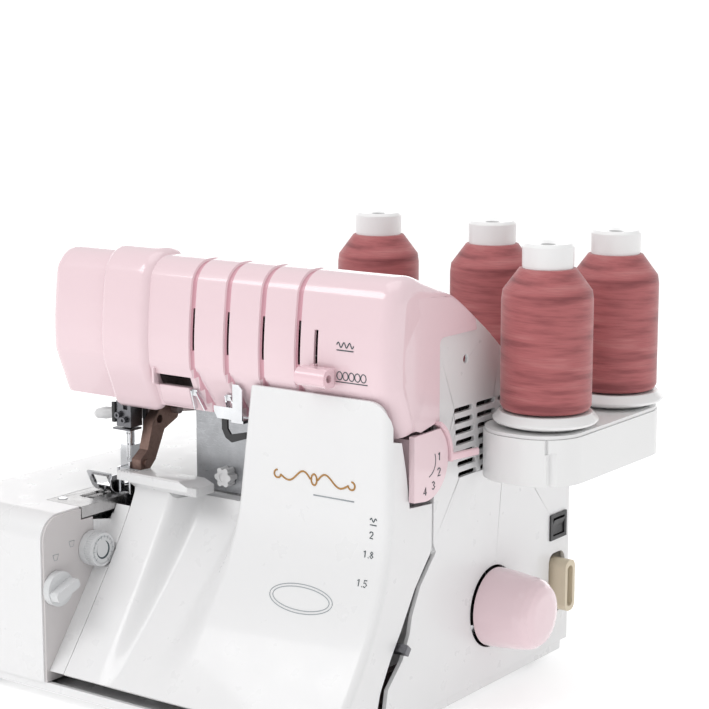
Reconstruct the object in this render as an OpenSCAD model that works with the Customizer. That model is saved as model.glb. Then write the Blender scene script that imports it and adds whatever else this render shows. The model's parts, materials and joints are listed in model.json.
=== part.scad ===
/* [Arm] */
// Length of the pink arm from its left end to the right side
arm_len = 291; // [285:1:297]
// Height of the arm's top above the table
arm_top = 300; // [298:1:302]
// Wall of the moulded covers
wall = 3; // [2.4:0.1:3.2]
// Width of each thread slot across the arm
slot_w = 4; // [3:0.1:5]
/* [Bed] */
// Height of the bed and needle plate above the table
bed_z = 129; // [129:0.1:129.4]
// Radius of the bed's front top edge
bed_round = 17; // [10:1:20]
/* [Drive] */
// Radius of the handwheel
wheel_r = 27; // [20:0.5:27.5]
// Radius of the lower main shaft
shaft_r = 5; // [4:0.1:5.4]
// Rise of the needle points above the needle plate at rest
needle_rise = 20; // [18:0.5:22]
/* [Thread] */
// Radius of a wound spool
spool_r = 30; // [24:0.5:31]
// Radius of the spool's white tube
tube_r = 16.5; // [14:0.5:18]
// Distance between the spools of the rear row
spool_pitch = 99; // [96:1:101]
/* [Hidden] */
$fn = 48;
gap = 0.4;                      // clearance between neighbouring covers
side_x = 131.5;                 // right side of the machine
arm_x0 = side_x - arm_len;      // left end of the arm
cap_x = -108;                   // joint between the end cover and the arm cover
band_x = -66;                   // right edge of the raised take-up cover
pillar_x = -62;                 // left side of the pillar
bed_x0 = -206.5;                // left side of the bed
bed_x1 = -105.5;                // right side of the front bed block
bed_y0 = -156.5;                // front of the bed block
rear_y = 135.5;                 // rear of the lower body
arm_bottom = 198;
base_top = 14;
seam_y = -38;                   // front edge of the light side panel
panel_z = 258;                  // top edge of the light side panel
pink_rear_y = 5;                // rear edge of the pink cover on the slope
slot_pitch = 29.3;
slots_x = [for (i = [0:3]) -30 + i * slot_pitch];
needle_x = -112.5;
needle_y = -61.5;
needle_tip_z = bed_z + needle_rise;
wheel_y = 32.5;
wheel_z = 64;
shaft_z = 232;                  // height of the upper shaft
shaft_y = -18;
motor_y = 92;
motor_z = 62;
spool_x = 171.5;                // axis of the right-hand spools
front_spool_y = 30.5;
rear_spool_y = 122;
tray_z0 = 161.5;
tray_z1 = 194.8;
disc_top = 205.4;
spool_h = 109.6;
shoulder_z = tray_z0 - gap;      // top of the lower rear body, under the tray
spools = [[spool_x, front_spool_y], [spool_x, rear_spool_y],
          [spool_x - spool_pitch, rear_spool_y], [spool_x - 2 * spool_pitch, rear_spool_y]];
plate_x0 = -138.5;
plate_x1 = -105.6;
plate_y0 = -117.6;
plate_y1 = -24;
knob_up = [-110, 99];
knob_low = [-145, 78.5];
dial_c = [-56, 181];            // pivot of the stitch lever, in y and z
hinge_y = -136;                 // hinge of the front cover
hinge_z = 29;
cover_x0 = -104.7;
cover_x1 = 131;
cover_bottom = 22;
feed_pivot = [-98, 30];         // pivot of the differential feed lever, in y and z

// Places a 2D outline of y and z, and extrudes it from x0 to x1
module along_x(x0, x1) translate([x0, 0, 0]) rotate([90, 0, 90]) linear_extrude(x1 - x0) children();
// Places a 2D outline of x and z, and extrudes it from y0 to y1
module along_y(y0, y1) translate([0, y1, 0]) rotate([90, 0, 0]) linear_extrude(y1 - y0) children();
module box(lo, hi) translate(lo) cube(hi - lo);
module rod_x(r, x0, x1, y, z) translate([x0, y, z]) rotate([0, 90, 0]) cylinder(r = r, h = x1 - x0);
module rod_y(r, y0, y1, x, z) translate([x, y0, z]) rotate([-90, 0, 0]) cylinder(r = r, h = y1 - y0);
module rod_z(r, z0, z1, x, y) translate([x, y, z0]) cylinder(r = r, h = z1 - z0);
module ring_x(r, bore, x0, x1, y, z) difference() {
  rod_x(r, x0, x1, y, z);
  rod_x(bore, x0 - 1, x1 + 1, y, z);
}
// Flat outline with round corners, from lo to hi
module pad(lo, hi, r) {
  square_w = hi - lo;
  translate(lo + [r, 0]) square([square_w.x - 2 * r, square_w.y]);
  translate(lo + [0, r]) square([square_w.x, square_w.y - 2 * r]);
  for (x = [lo.x + r, hi.x - r], y = [lo.y + r, hi.y - r]) translate([x, y]) circle(r);
}

function arc(c, r, a0, a1, n) = [for (i = [0:n]) let (a = a0 + (a1 - a0) * i / n) c + r * [cos(a), sin(a)]];
function unit(v) = v / norm(v);
function left_of(v) = [-v.y, v.x];
// Moves each side of a closed counter-clockwise outline inwards by d
function inset(p, d) = [for (i = [0:len(p) - 1]) let (
  n = len(p),
  a = left_of(unit(p[i] - p[(i + n - 1) % n])),
  b = left_of(unit(p[(i + 1) % n] - p[i]))) p[i] + (a + b) * d / (1 + a * b)];
function smooth(t) = let (s = min(1, max(0, t))) s * s * (3 - 2 * s);
function mix(a, b, t) = a + (b - a) * t;

// Rear slope of the arm, from its lower rear corner to the top
rear_slope = [[72, 210], [66, 218], [52, 231], [38, 243], [22, 255.5], [5, 267],
              [-14.5, 280], [-36, 291], [-50, arm_top - 3]];
arm_profile = concat([[-76, arm_bottom], [68, arm_bottom]], rear_slope, [[-58, arm_top]],
  arc([-66, arm_top - 20], 20, 90, 172, 8),
  [[-87.6, 265], [-88.9, 248], [-88.5, 229]]);
// Rear half of the pillar above the shoulder
pillar_profile = concat([[seam_y, 150], [86, 150], [86, 185], [80, 200]], [for (i = [0:5]) rear_slope[i]],
  [[pink_rear_y, panel_z], [seam_y + 4, panel_z], [seam_y + 1.2, panel_z - 1.2], [seam_y, panel_z - 4]]);

// Ring of the arm's outline at x, moved in by d where the front and top are round
function arm_ring(x, d, back) = let (q = inset(arm_profile, d)) [for (i = [0:len(q) - 1])
  let (p = arm_profile[i], w = 1 - smooth((p.x - back + 30) / 40)) [x, mix(p.x, q[i].x, w),
    mix(p.y, q[i].y, w)]];
// Solid arm shape from x0 to x1, with a round edge of radius r at its x1 end
module arm_solid(x0, x1, r, back) skin(concat([arm_ring(x0, 0, back)],
  [for (a = [0:15:90]) arm_ring(x1 - (x1 > x0 ? r : -r) * (1 - sin(a)), r * (1 - cos(a)), back)]));

// ---- covers ----
module arm_cover() color("pink") difference() {
  arm_solid(cap_x + gap, side_x, 12, -30);
  along_x(cap_x, side_x - wall) polygon(inset(arm_profile, wall));
  box([cap_x - 1, pink_rear_y, 150], [side_x + 1, 120, 320]);
  box([cap_x - 1, -71.5, 190], [side_x - wall, 120, arm_bottom + wall + 1]);
  along_x(side_x - wall - 1, side_x + 1) polygon(inset(pillar_profile, -gap));
  for (x = slots_x) {
    along_x(x - slot_w / 2, x + slot_w / 2) difference() {
      translate([-100, 226]) square([55, 80]);
      polygon(inset(arm_profile, wall - 1));
    }
    // slanted run down the underside of the front
    translate([x, -88.5, 228.6]) rotate([22, 0, 0]) rotate([0, -20, 0]) translate([-slot_w / 2, -6, -31])
      cube([slot_w, 8, 31.5]);
    box([x - 0.8, -95, 240], [x + 0.8, -78, 268]);
  }
  box([band_x, -95, 214.5], [-35, -70, 218.5]);
  box([71.2, -95, 235], [74.2, -70, 265]);
}

module end_cover() color("pink") difference() {
  mirror([1, 0, 0]) arm_solid(-cap_x, -arm_x0, 9, 200);
  along_x(arm_x0 + wall, cap_x + 1) polygon(inset(arm_profile, wall));
  box([arm_x0 + wall, -71.5, 190], [cap_x + 1, 62, arm_bottom + wall + 1]);
}

module take_up_cover() color("pink") difference() {
  skin([for (c = [[0, -2.4], [1.6, -4], [30, -4], [34, -3.7], [37.5, -2.8], [40, -1.4], [41.6, -0.6]])
    [for (q = inset(arm_profile, c.y)) [cap_x + gap + c.x, q.x, q.y]]]);
  along_x(cap_x, band_x + 1) polygon(inset(arm_profile, -0.3));
  box([cap_x - 1, -50, 150], [band_x + 1, 120, 320]);
  box([cap_x - 1, -100, 150], [band_x + 1, 120, arm_bottom - 0.5]);
}

module rear_housing() color("white") difference() {
  union() {
    along_x(side_x - wall, side_x) {
      polygon(pillar_profile);
      polygon([[-41, 160], [-41, 124], [-38, 118], [-56, 99], [-65, 82], [-68, 70], [-76, 55], [-92, 40],
               [-97, base_top + gap],
               [rear_y, base_top + gap], [rear_y, shoulder_z], [seam_y, shoulder_z]]);
    }
    // rear wall and slope over the whole arm
    along_x(cap_x + gap, side_x - wall) difference() {
      polygon(arm_profile);
      polygon(inset(arm_profile, wall));
      translate([-200, 100]) square([200 + pink_rear_y + gap, 300]);
      translate([-200, 150]) square([262, arm_bottom + wall + 1 - 150]);
    }
    // shoulder that carries the spool tray, and the lower rear wall
    along_x(pillar_x, side_x - wall) {
      polygon([[68, arm_bottom], [72, 210], [80, 200], [86, 185], [86, shoulder_z], [rear_y, shoulder_z],
        [rear_y, base_top + gap],
               [rear_y - wall, base_top + gap], [rear_y - wall, shoulder_z - wall],
                 [86 - wall, shoulder_z - wall],
               [86 - wall, 185], [77, 199], [70, arm_bottom]]);
    }
    // left wall of the pillar
    along_x(pillar_x, pillar_x + wall) polygon([[seam_y + gap, bed_z + gap], [rear_y - 1, bed_z + gap],
      [rear_y - 1, shoulder_z - 1], [85, shoulder_z - 1], [85, 185], [74, arm_bottom - 1],
        [seam_y + gap, arm_bottom - 1]]);
    box([pillar_x, -39.8, base_top + gap], [side_x - wall + 0.5, -38, 152]);
  }
  // cooling slots
  along_x(side_x - wall - 1, side_x + 1) for (row = [0:6], col = [0:2])
    let (y = -17.8 + col * 27 + row * 0.95, z = 207.2 - row * 7.25) pad([y, z - 1.7],
      [y + 22.6, z + 1.7], 1.6);
  rod_x(2.9, side_x - wall - 1, side_x + 1, -4.5, 240);
  rod_x(wheel_r + 1.2, side_x - wall - 1, side_x + 1, wheel_y, wheel_z);
  box([side_x - wall - 1, 108.6, 93.2], [side_x + 1, 129.2, 110.2]);
  along_x(side_x - wall - 1, side_x + 1) pad([108, 38], [130, 82], 7);
  rod_y(3.6, -50, -30, -36.5, 146);
}

module bed_cover() color("white") {
  bed_shell();
  side_strip();
  box([bed_x0 + 2, -99.6, base_top + gap], [-106, -97, 62]);
}
module bed_shell() difference() {
  union() {
    along_x(bed_x0, bed_x1 - 2) bed_outline(0);
    box([bed_x1 - 2.1, -20, bed_z - wall], [pillar_x - gap, rear_y, bed_z]);
    box([bed_x1 - 2.1, rear_y - wall, base_top + gap], [pillar_x - gap, rear_y, bed_z]);
  }
  along_x(bed_x0 + wall, bed_x1 + 1) bed_outline(wall);
  box([plate_x0 - gap, plate_y0 - gap, bed_z - wall - 1], [bed_x1 + 1, plate_y1 + gap, bed_z + 1]);
}
module bed_outline(in) polygon(concat(
  [[bed_y0 + in, base_top + gap - (in > 0 ? 1 : 0)], [rear_y - in, base_top + gap - (in > 0 ? 1 : 0)],
   [rear_y - in, bed_z - in]],
  arc([bed_y0 + bed_round, bed_z - bed_round], bed_round - in, 90, 180, 8)));

module control_panel() color("gainsboro") difference() {
  along_x(bed_x1 - 2, bed_x1) difference() {
    bed_outline(1.2);
    translate([seam_y - 69, 0]) square([300, 200]);
  }
  box([bed_x1 - 3, -118.6, 120], [bed_x1 + 1, 0, 140]);
  box([bed_x1 - 3, -200, 0], [bed_x1 + 1, 200, base_top + gap]);
  for (k = [knob_up, knob_low]) rod_x(3.05, bed_x1 - 3, bed_x1 + 1, k.x, k.y);
}

module base_pan() color("white") difference() {
  translate([0, 0, 8]) linear_extrude(base_top - 8) pad([bed_x0 + 2, bed_y0 + 2],
    [side_x - 1, rear_y - 2], 8);
  translate([0, 0, 10]) linear_extrude(10) pad([bed_x0 + 5, bed_y0 + 5], [side_x - 4, rear_y - 5], 6);
  box([side_x - 4.3, -143, 11.2], [side_x, -127, 15]);
}

module rubber_feet() color("dimgray") for (x = [-180, 105], y = [-132, 108])
  translate([x, y, 0]) rotate_extrude() polygon([[0, 0], [9, 0], [10.5, 1.5], [11.5, 7.8], [0, 7.8]]);

// Front surface of the looper cover. The right part stands tall; the left part is a valley below the cloth guide
function tall_y(z) = -90.5 - 64 * pow(max(0, 150 - z) / 130, 2);
function valley_y(x, z) = let (t = max(0, min(1, (135 - z) / 115)),
  back = mix(-78, -54, smooth((x + 62) / 14)))
  mix(back, -154.5, pow(t, 1.15));
function bank_x(z) = 22 - 0.13 * (224 - z);
function right_round(x) = 6 * (1 - sqrt(max(0, 1 - pow(max(0, x - 125) / 6.3, 2))));
function front_y(x, z) = let (
    bank = smooth((x - bank_x(z) + 22) / 24),
    left = 1 - smooth((x - cover_x0 - 3) / 7))
  right_round(x) + mix(mix(valley_y(x, z), tall_y(z), bank), min(-107, valley_y(x, z)), left);
panel_x = 8;                    // left edge of the tall part of the front cover
function top_z(x) = x < panel_x ? mix(137.5, 133, smooth((x + 62) / 4)) :
  x < 19 ? 137 + 80 * (x - panel_x) / 11 : x < 24 ? 217 + 7 * sqrt(1 - pow((24 - x) / 5, 2)) :
  x < 115 ? 224 : 224 - 16 * (1 - sqrt(max(0, 1 - pow((x - 115) / 16, 2))));
function ledge_y(x) = x < panel_x ? -43 : -87.7;
// Rear edge of the cover's right side wall, for a height z
side_edge = [[20, -106], [40, -100], [60, -88], [75, -77], [99, -61.5], [119, -43.5], [122, -42.4],
  [151, -42.4], [153, -68],
             [158, -68.5], [177, -72], [197, -77], [199, -87.9], [224, -87.9]];
function side_y(z) = lookup(z, side_edge);
cover_steps = 10;
function cover_ring(x, edge) = let (zt = top_z(x), rear = ledge_y(x)) concat(
  [for (k = [0:cover_steps]) let (z = mix(cover_bottom, zt, k / cover_steps)) [x, front_y(x, z), z]],
  [[x, rear, zt], [x, rear, zt - 2.4]],
  [for (k = [cover_steps:-1:0]) let (z = mix(cover_bottom, zt - 2.4, k / cover_steps))
    [x, edge ? max(front_y(x, z) + 2.6, side_y(z)) : front_y(x, z) + 2.6, z]]);
cover_xs = [-92.3, -66, -58, -46, -28, -14, -4, 7.8, 8, 13.5, 19, 21, 24, 50, 115, 121, 126, 128.2];
module front_cover() color("white") {
  skin([for (x = cover_xs) cover_ring(x, false), for (x = [128.3, 129.6, cover_x1]) cover_ring(x, true)]);
  // hinge knuckles on the rod
  for (x = [-60, 20, 90]) difference() {
    box([x, hinge_y - 6, 25], [x + 12, hinge_y + 4, 31]);
    rod_x(2.55, x - 1, x + 13, hinge_y, hinge_z);
  }
}
// Fixed wall between the bed block and the cover, cut away around the upper dial
module side_strip() {
  zs = [for (z = [cover_bottom:6.5:137]) z];
  along_x(bed_x1 - 2, bed_x1) polygon([[seam_y - 68.6, base_top + gap], [-86, base_top + gap], [-86, 114],
    [seam_y - 68.6, 118]]);
  difference() {
    along_x(bed_x1 - 1, -92.8) polygon(concat([for (z = zs) [valley_y(-99, z), z]],
      [for (i = [len(zs) - 1:-1:0]) [valley_y(-99, zs[i]) + 2.6, zs[i]]]));
    rod_x(13.4, bed_x1, -92, knob_up.x, knob_up.y);
    box([-107, -83, 100], [-92, -60, 140]);
    box([bed_x1 - 2, -200, 0], [bed_x1 + 0.1, seam_y - 68.8, 140]);
    box([bed_x1 - 2, -120, bed_z - 11], [bed_x1 + 0.3, -60, 140]);
  }
}
// Closed solid through a list of rings of equal length
module skin(rings) {
  n = len(rings[0]);
  last = len(rings) - 1;
  polyhedron([for (ring = rings, p = ring) p], concat(
    [[for (i = [n - 1:-1:0]) i]],
    [for (k = [0:last - 1], i = [0:n - 1]) let (a = k * n + i, b = k * n + (i + 1) % n) each
      [[a, b, a + n], [b, b + n, a + n]]],
    [[for (i = [0:n - 1]) last * n + i]]), convexity = 8);
}

// Ledge that guides the cloth, clipped on the top of the cover
module cloth_guide() color("white") difference() {
  union() {
    along_x(-92, -36) polygon([[-84, 141.6], [-79, 137.7], [-60, 137.7], [-60, 146.8], [-82.4, 148.2],
      [-84, 147]]);
    along_x(-103.4, -91.9) polygon([[-84, 142], [-74, 142], [-74, 147.6], [-82.4, 148.2], [-84, 147]]);
  }
  along_y(-90, -55) polygon([[-50, 148.8], [-33, 142.4], [-33, 150]]);
  translate([-40, -84, 135]) rotate([0, 0, -38]) cube([40, 40, 20]);
  for (x = [-101:3:-92]) box([x, -83, 147.5], [x + 0.7, -74.5, 150]);
}

module throat_plate() color("silver") difference() {
  box([-66.5, -42, 133.8], [100, -40.6, 190]);
  rod_y(3.05, -50, -30, -36.5, 146);
}

// ---- metal frame ----
// Arm casting, two posts and the bed casting, bolted together
module cast_frame() color("lightgray") {
  arm_casting();
  posts();
  bed_casting();
  arm_shroud();
  tray_brackets();
}
module arm_casting() difference() {
  union() {
    box([-150, -50, 206], [112, 0, 212]);
    box([-150, -6, 206], [112, 0, 246]);
    for (x = [-150, -70, 20, 106]) box([x, -50, 206], [x + 6, 0, 246]);
    box([-118, -68, 214], [-107, -50, 222]);
    box([-118, -68, 238], [-107, -50, 246]);
    box([-129, -53, 214], [-119, -40, 222]);
    box([-129, -53, 238], [-119, -40, 246]);
    box([-118, -50, 238], [-107, 0, 246]);
    box([-129, -50, 238], [-118, 0, 246]);
  }
  for (x = [-151, -71, 19, 105]) rod_x(4.05, x, x + 8, shaft_y, shaft_z);
  rod_z(3.25, 200, 250, needle_x, needle_y);
  rod_z(3.05, 200, 250, -124, -46.5);
}
module posts() for (x = [[-50, -38], [94, 106]]) difference() {
  box([x[0], -6, 26.2], [x[1], 60, 205.8]);
  rod_x(shaft_r + 0.05, x[0] - 1, x[1] + 1, wheel_y, wheel_z);
}
module bed_casting() difference() {
  union() {
    box([-190, 10, 20], [106, 50, 26]);
    for (x = [-150, -90]) box([x, 18, 20], [x + 8, 48, 82]);
  }
  for (x = [-151, -91]) rod_x(shaft_r + 0.05, x, x + 14, wheel_y, wheel_z);
}

// ---- drive ----
// Lower shaft with its two eccentrics and the drive pulley
module main_shaft() color("silver") {
  rod_x(shaft_r, -156, 160, wheel_y, wheel_z);
  for (x = [-130, -72]) rod_x(11, x, x + 9, wheel_y + 3, wheel_z);
  rod_x(22, 110, 119, wheel_y, wheel_z);
  rod_x(14, 119, 127, wheel_y, wheel_z);
}
module handwheel() color("pink") difference() {
  union() {
    translate([133, wheel_y, wheel_z]) rotate([0, 90, 0]) rotate_extrude($fn = 96)
      polygon([[0, 0], [wheel_r, 0], [wheel_r - 0.5, 12], [wheel_r - 2.2, 28], [wheel_r - 3.6, 33.5],
        [wheel_r - 7, 37.5],
        [wheel_r - 13, 39.4], [0, 40]]);
  }
  rod_x(shaft_r + 0.02, 132, 160.2, wheel_y, wheel_z);
  ring_x(wheel_r - 4, 12, 132, 150, wheel_y, wheel_z);
}
// Upper shaft with its crank and pulley
module upper_shaft() color("silver") {
  rod_x(4, -156, 127, shaft_y, shaft_z);
  rod_x(14, 119, 127, shaft_y, shaft_z);
  rod_x(12, -140, -134, shaft_y, shaft_z);
  rod_x(3, -134, -130, shaft_y - 8, shaft_z);
}
// Belt round two pulleys, each given as [y, z, radius], with equal wrap
module belt(a, b, x0, x1, t) {
  d = [b.x - a.x, b.y - a.y];
  turn = atan2(d.y, d.x);
  lean = acos((a.z - b.z) / norm(d));
  outline = function (grow) concat(arc([a.x, a.y], a.z + grow, turn + lean, turn + 360 - lean, 24),
    arc([b.x, b.y], b.z + grow, turn - lean, turn + lean, 16));
  along_x(x0, x1) difference() {
    polygon(outline(gap + t));
    polygon(outline(gap));
  }
}
module drive_belts() color("black") {
  belt([wheel_y, wheel_z, 14], [shaft_y, shaft_z, 14], 120, 126, 1.6);
  belt([wheel_y, wheel_z, 22], [motor_y, motor_z, 8], 112, 118, 1.6);
}
module motor() color("dimgray") difference() {
  union() {
    rod_x(24, 30, 96, motor_y, motor_z);
    rod_x(9, 96, 100, motor_y, motor_z);
    box([40, motor_y - 20, 20], [86, motor_y + 20, 40]);
    for (y = [motor_y - 16, motor_y + 16]) box([44, y - 3, base_top - 4 + gap], [82, y + 3, 21]);
  }
  rod_x(3.05, 29, 101, motor_y, motor_z);
}
module motor_pulley() color("silver") {
  rod_x(3, 28, 122, motor_y, motor_z);
  rod_x(8, 111, 119, motor_y, motor_z);
}

// ---- needle and presser foot ----
module needle_bar() color("silver") rod_z(3.2, 193.4, 288, needle_x, needle_y);
module needle_clamp() color("silver") difference() {
  union() {
    box([needle_x - 5.4, needle_y - 6, 175.4], [needle_x + 7.9, needle_y + 6, 193.5]);
    box([needle_x - 8, needle_y - 7, 173], [needle_x + 8.1, needle_y + 5, 174.2]);
    rod_z(2.6, 174, 175.6, needle_x, needle_y);
  }
  for (s = [-1, 1]) rod_z(1, 172, 187, needle_x + s * 1.15, needle_y);
  for (s = [-1, 1]) rod_y(1.6, needle_y - 7.5, needle_y - 1, needle_x + s * 2.6, 182 - s * 1.6);
  box([needle_x + 1, needle_y - 6.5, 187.8], [needle_x + 5, needle_y - 3.8, 191.8]);
}
module needle_screws() color("dimgray") for (s = [-1, 1]) translate([needle_x + s * 2.6, needle_y, 182 - s * 1.6]) {
  rod_y(1.55, -7.4, -1.2, 0, 0);
  difference() {
    rod_y(2.3, -9, -7.4, 0, 0);
    rod_y(1.1, -10, -7.9, 0, 0);
  }
}
module needles() color("silver") for (s = [-1, 1]) translate([needle_x + s * 1.15, needle_y, 0]) {
  rod_z(0.95, 170, 186, 0, 0);
  translate([0, 0, 168.7]) cylinder(r1 = 0.5, r2 = 0.95, h = 1.4);
  translate([0, 0, needle_tip_z + 3]) cylinder(r = 0.5, h = 165.8 - needle_tip_z);
  translate([0, 0, needle_tip_z]) cylinder(r1 = 0.08, r2 = 0.5, h = 3.1);
}
// Presser bar with the ankle and the pin that hold the foot
module presser_bar() color("silver") {
  rod_z(3, 152, 284, -124, -46.5);
  box([-129, -52, 140], [-119, -41, 158]);
  box([-125, -57.6, 137.6], [-117.5, -41, 142.6]);
  rod_x(1.25, -127.4, -115, -55, 140);
}
// Foot with an open toe that curls up, two ears on the pin and a guard plate on its right
module presser_foot() color("silver") {
  difference() {
    along_x(-130, -108.5) polygon([[-86.5, 145], [-84.6, 145.4], [-79, 135], [-75, 132.6], [-42, 132.6],
      [-39.4, 134],
      [-38.8, 132.8], [-42, bed_z + 1.2], [-77, bed_z + 1.2], [-81, 134]]);
    box([-117.2, -72, 120], [-109.8, -56, 150]);
    box([-126.5, -90, 135.4], [-112, -76, 143]);
  }
  for (x = [-127.3, -116.9]) difference() {
    box([x, -58, 132], [x + 1.8, -52.2, 142.8]);
    rod_x(1.3, x - 1, x + 3, -55, 140);
  }
  along_x(-108.6, -107.4) polygon(concat([[-84, 144], [-86, 141]], arc([-78, 139], 8, 180, 270, 6),
    [[-60, 131], [-60, 133], [-72, 135], [-76, 144]]));
}
module lifter_lever() color("whitesmoke") {
  translate([-133, -30, 177]) rotate([0, -90, 14]) linear_extrude(9) pad([-3, -3], [3, 3], 1.5);
  translate([-141.5, -32, 177]) rotate([0, -99, 10]) rotate_extrude($fn = 32)
    polygon([[0, 0], [2.6, 0], [3.6, 7], [4.5, 17], [3.6, 24], [1.6, 26.6], [0, 27]]);
  rod_y(4.5, -33.5, -26, -132, 177);
}
module lifter_pivot() {
  rod_y(3, -25.6, 2, -132, 177);
  box([-136, -25.6, 181], [-128, -6.4, 205.6]);
  rod_y(5, -25.6, -20, -132, 177);
}

// ---- knives, loopers and feed ----
module needle_plate() color("silver") difference() {
  union() {
    box([plate_x0, plate_y0, bed_z - 2.6], [plate_x1, plate_y1, bed_z]);
    box([plate_x1 - 1.6, plate_y0, bed_z - 8], [plate_x1, -76, bed_z - 2.5]);
  }
  for (x = [-128.3, -121.5]) box([x, -96, bed_z - 3], [x + 5, -64, bed_z + 1]);
  box([-116.6, -67, bed_z - 3], [-107.6, -57, bed_z + 1]);
  box([-127, -56, bed_z - 3], [-117, -40, bed_z + 1]);
  for (y = [-108, -31]) rod_z(2.1, bed_z - 4, bed_z + 1, -132.5, y);
  for (y = [-108, -31]) rod_z(3.6, bed_z - 1, bed_z + 1, -132.5, y);
}
module screws() color("gainsboro") {
  inlet_pins();
  plate_screws();
  rod_x(2.7, side_x - 3.9, side_x - 1.2, -4.5, 240);
}
module plate_screws() for (y = [-108, -31]) difference() {
  union() {
    rod_z(2, bed_z - 8, bed_z - 0.9, -132.5, y);
    rod_z(3.4, bed_z - 0.9, bed_z + 0.4, -132.5, y);
  }
  translate([-132.5, y, bed_z]) rotate(30) cube([8, 0.8, 1.2], center = true);
}
module feed_row(x, y0, y1) {
  box([x, y0, bed_z - 14], [x + 3.6, y1, bed_z - 1]);
  along_x(x, x + 3.6) polygon(concat([[y1, bed_z - 1.1], [y0, bed_z - 1.1]],
    [for (i = [0:round((y1 - y0) / 2) - 1]) each [[y0 + 2 * i + 0.2, bed_z + 0.8],
      [y0 + 2 * i + 1.9, bed_z - 0.4]]]));
}
module main_feed_dog() color("white") {
  feed_row(-127.6, -78, -66);
  feed_row(-120.8, -78, -66);
  box([-127.6, -77, bed_z - 20], [-117.2, -68, bed_z - 13.9]);
  box([-127.4, -76, bed_z - 32], [-122.6, 8, bed_z - 19.9]);
}
module differential_feed_dog() color("white") {
  feed_row(-127.6, -94, -82);
  feed_row(-120.8, -94, -82);
  box([-127.6, -93, bed_z - 24], [-117.2, -84, bed_z - 13.9]);
  box([-121.6, -92, bed_z - 32], [-117.4, 8, bed_z - 20.6]);
}
module lower_knife() color("darkgray") {
  box([-105.4, -74, 104], [-104.0, -61, bed_z - 0.4]);
  box([-104.1, -72, 100], [-98, -62, 110]);
}
module upper_knife() color("silver") {
  box([-103.6, -72, 128.6], [-102.2, -60, 152]);
}
module knife_arm() color("rosybrown") {
  difference() {
    along_x(-102, -94) polygon([[-70, 147], [-60, 146.4], [-54, 152], [-44, 172], [-30, 178], [-26, 186],
      [-30, 193],
      [-44, 192], [-56, 180], [-62, 160], [-70, 154]]);
    rod_x(3.1, -103, -93, -34, 185);
    rod_x(3, -103, -93, -49, 180);
  }
  rod_x(3, -94.1, -92.4, -64, 151);
}
module knife_pivot() {
  rod_x(3, -108, -88, -34, 185);
  box([-92, -37, 187.6], [-89, -20, 205.6]);
  box([-108, -37, 187.6], [-105, -20, 205.6]);
}
module lower_looper() color("darkgray") {
  difference() {
    union() {
      along_y(-59, -55) polygon([[-98, 56], [-86, 56], [-86, 74], [-94, 104], [-112, 121.5],
        [-116, 121.5], [-100, 100], [-98, 74]]);
      rod_y(8, -59, -51, -92, 60);
    }
    rod_y(3.05, -60, -50, -92, 60);
  }
}
module upper_looper() color("silver") {
  difference() {
    union() {
      along_y(-49.6, -46) polygon([[-80, 62], [-64, 62], [-66, 84], [-84, 104], [-101, 119], [-103, 118],
        [-90, 96], [-80, 80]]);
      rod_y(7, -50, -43, -70, 66);
    }
    rod_y(3.05, -51, -42, -70, 66);
  }
}
module looper_shafts() {
  rod_y(3, -62, 9.6, -92, 60);
  rod_y(3, -53, 9.6, -70, 66);
  box([-98, -36, 26.4], [-86, -30, 56.8]);
  box([-76, -36, 26.4], [-64, -30, 62.8]);
  box([-98, -36, base_top - 4 + gap], [-64, 9.6, 26]);
}
module threading_tubes() color("gainsboro") {
  threading_block();
  for (i = [0:1]) {
    rod_x(1.6, -58, 40, -60 + i * 8, 84 + i * 9);
    rod_x(3, 40, 52.6, -60 + i * 8, 84 + i * 9);
  }
}
module threading_block() difference() {
  box([52.4, -66, 72], [78, -40.6, 108]);
  for (i = [0:1]) rod_y(1.8, -67, -50, 60 + i * 10, 96 - i * 12);
}

// ---- dials, levers and switch ----
module knob(c, r, depth, marks) {
  difference() {
    translate([bed_x1 + gap, c.x, c.y]) rotate([0, 90, 0]) {
      cylinder(r = r, h = depth * 0.42, $fn = 72);
      cylinder(r = r - 0.5, h = depth, $fn = 72);
      for (i = [0:marks - 1]) rotate(i * 360 / marks)
        translate([r - 1.2, -0.4, depth * 0.42 - 0.5]) cube([1.1, 0.8, depth * 0.5]);
    }
    ring_x(r - 2.2, r - 3.2, bed_x1 + depth + gap - 0.6, bed_x1 + depth + gap + 1, c.x, c.y);
  }
  rod_x(2.95, bed_x1 - 12, bed_x1 + gap + 0.1, c.x, c.y);
}
module width_dial() color("whitesmoke") knob(knob_up, 12, 11.5, 44);
module length_dial() color("whitesmoke") {
  rod_x(12, bed_x1 + gap, bed_x1 + gap + 5, knob_low.x, knob_low.y);
  along_x(bed_x1 + gap, bed_x1 + gap + 12) translate(knob_low) rotate(20) pad([-11.2, -3.6],
    [11.2, 3.6], 2.4);
  rod_x(2.95, bed_x1 - 12, bed_x1 + gap + 0.1, knob_low.x, knob_low.y);
}
module letter_plate() color("pink") {
  along_x(side_x + 2.6, side_x + 4.4) polygon(concat(arc(dial_c, 25, -100, 52, 20), [[dial_c.x - 14, 200],
    [dial_c.x - 14, 157.5]]));
  along_x(side_x + 0.2, side_x + 4.4) polygon([[-70, 200], [-61.5, 200], [-61.5, 158], [-70, 157.5]]);
  along_x(112, side_x + 0.3) difference() {
    polygon([[-67, 197], [-42, 197], [-42, 168], [-67, 168]]);
    translate(dial_c) circle(3.2);
  }
}
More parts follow.
